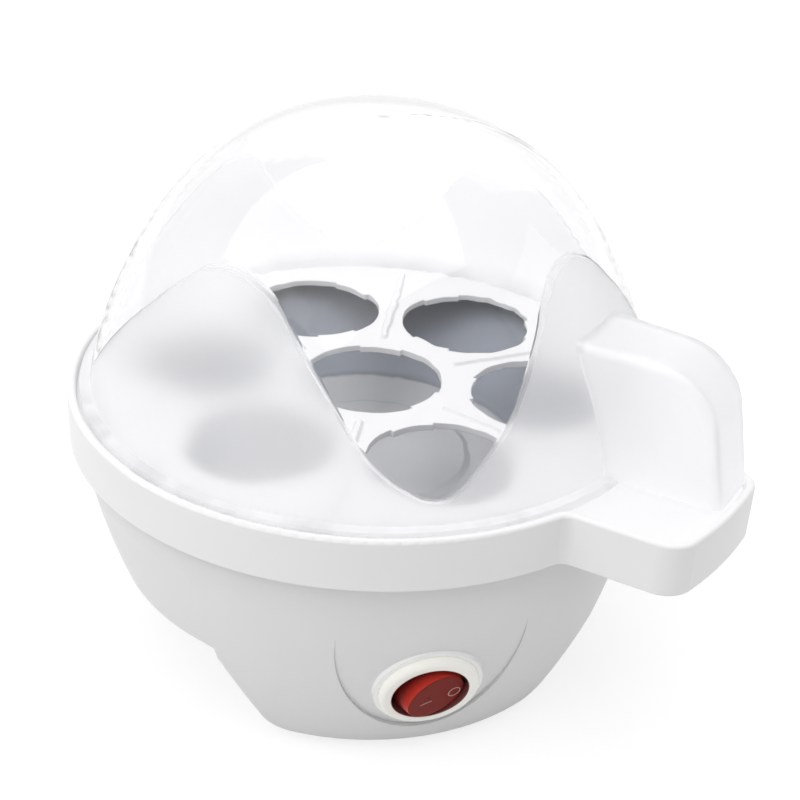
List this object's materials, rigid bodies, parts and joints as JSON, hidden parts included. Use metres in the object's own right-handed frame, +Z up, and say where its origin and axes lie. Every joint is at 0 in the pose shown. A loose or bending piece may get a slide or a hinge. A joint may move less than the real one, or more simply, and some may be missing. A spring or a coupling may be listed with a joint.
{
  "type": "electric egg cooker",
  "caption": "Round countertop electric egg cooker: bulged base with rocker switch and heated water pan, lift-out egg tray with an ear, clear domed lid with a hollow ear.",
  "frame": {"origin": "on the table, under the axis of the round body", "axes": "+Z up along the axis of the body, -Y towards the front with the switch, +X to the right seen from the front"},
  "size_m": [0.1646, 0.1763, 0.1521],
  "materials": {
    "shell_white": "smooth moulded, low gloss",
    "tray_white": "smooth moulded, glossy",
    "lid_clear": "clear, frosted low down in a wave",
    "cover_white": "fine moulded grain",
    "foot_rubber": "matt",
    "seal_silicone": "matt",
    "pan_steel": "bright drawn sheet",
    "fixing_steel": "zinc plated",
    "heater_steel": "heat tinted",
    "spreader_aluminium": "rolled sheet",
    "thermostat_black": "moulded phenolic",
    "fuse_metal": "plated case",
    "bezel_cream": "glossy",
    "rocker_red": "translucent, glossy",
    "contact_brass": "bright",
    "lamp_glass": "clear",
    "block_white": "moulded",
    "wire_brown": "insulation",
    "wire_blue": "insulation",
    "wire_white": "silicone insulation",
    "wire_earth": "insulation with a green stripe",
    "gland_white": "moulded"
  },
  "bodies": {
    "base": {"base_shell": "shell_white", "bottom_cover": "cover_white", "cover_screws": "fixing_steel", "rubber_feet": "foot_rubber", "heater_pan": "pan_steel", "pan_seal": "seal_silicone", "heat_spreader": "spreader_aluminium", "heating_element": "heater_steel", "element_pins": "fixing_steel", "clamp_bar": "fixing_steel", "clamp_screws": "fixing_steel", "stud_nuts": "fixing_steel", "thermostat": "thermostat_black", "thermal_fuse": "fuse_metal", "fuse_clip": "fixing_steel", "switch_housing": "bezel_cream", "switch_terminals": "contact_brass", "neon_lamp": "lamp_glass", "terminal_block": "block_white", "terminal_screws": "fixing_steel", "earth_lug": "contact_brass", "earth_screw": "fixing_steel", "supply_lead": "wire_brown", "lamp_lead": "wire_blue", "switched_lead": "wire_brown", "fuse_lead": "wire_white", "heater_lead": "wire_white", "neutral_lead": "wire_blue", "earth_lead": "wire_earth", "cord_gland": "gland_white"},
    "tray": {"egg_tray": "tray_white"},
    "lid": {"lid": "lid_clear"},
    "rocker": {"switch_rocker": "rocker_red", "switch_plunger": "contact_brass", "plunger_spring": "fixing_steel"},
    "contact": {"contact_lever": "contact_brass"}
  },
  "joints": [
    {"name": "tray_lift", "type": "slide", "parent": "base", "child": "tray", "axis": [0, 0, 1], "range_m": [0, 0.06]},
    {"name": "lid_lift", "type": "slide", "parent": "tray", "child": "lid", "axis": [0, 0, 1], "range_m": [0, 0.12]},
    {"name": "rocker_tilt", "type": "hinge", "parent": "base", "child": "rocker", "pos_m": [0, -0.0716, 0.02727], "axis": [0, 0.2756, -0.9613], "range_deg": [0, 32]},
    {"name": "lever_tilt", "type": "hinge", "parent": "base", "child": "contact", "pos_m": [0, -0.06198, 0.03002], "axis": [0, -0.2756, 0.9613], "range_deg": [0, 16]}
  ],
  "couplings": [
    {"joint": "lever_tilt", "follows": "rocker_tilt", "ratio": 0.5}
  ]
}
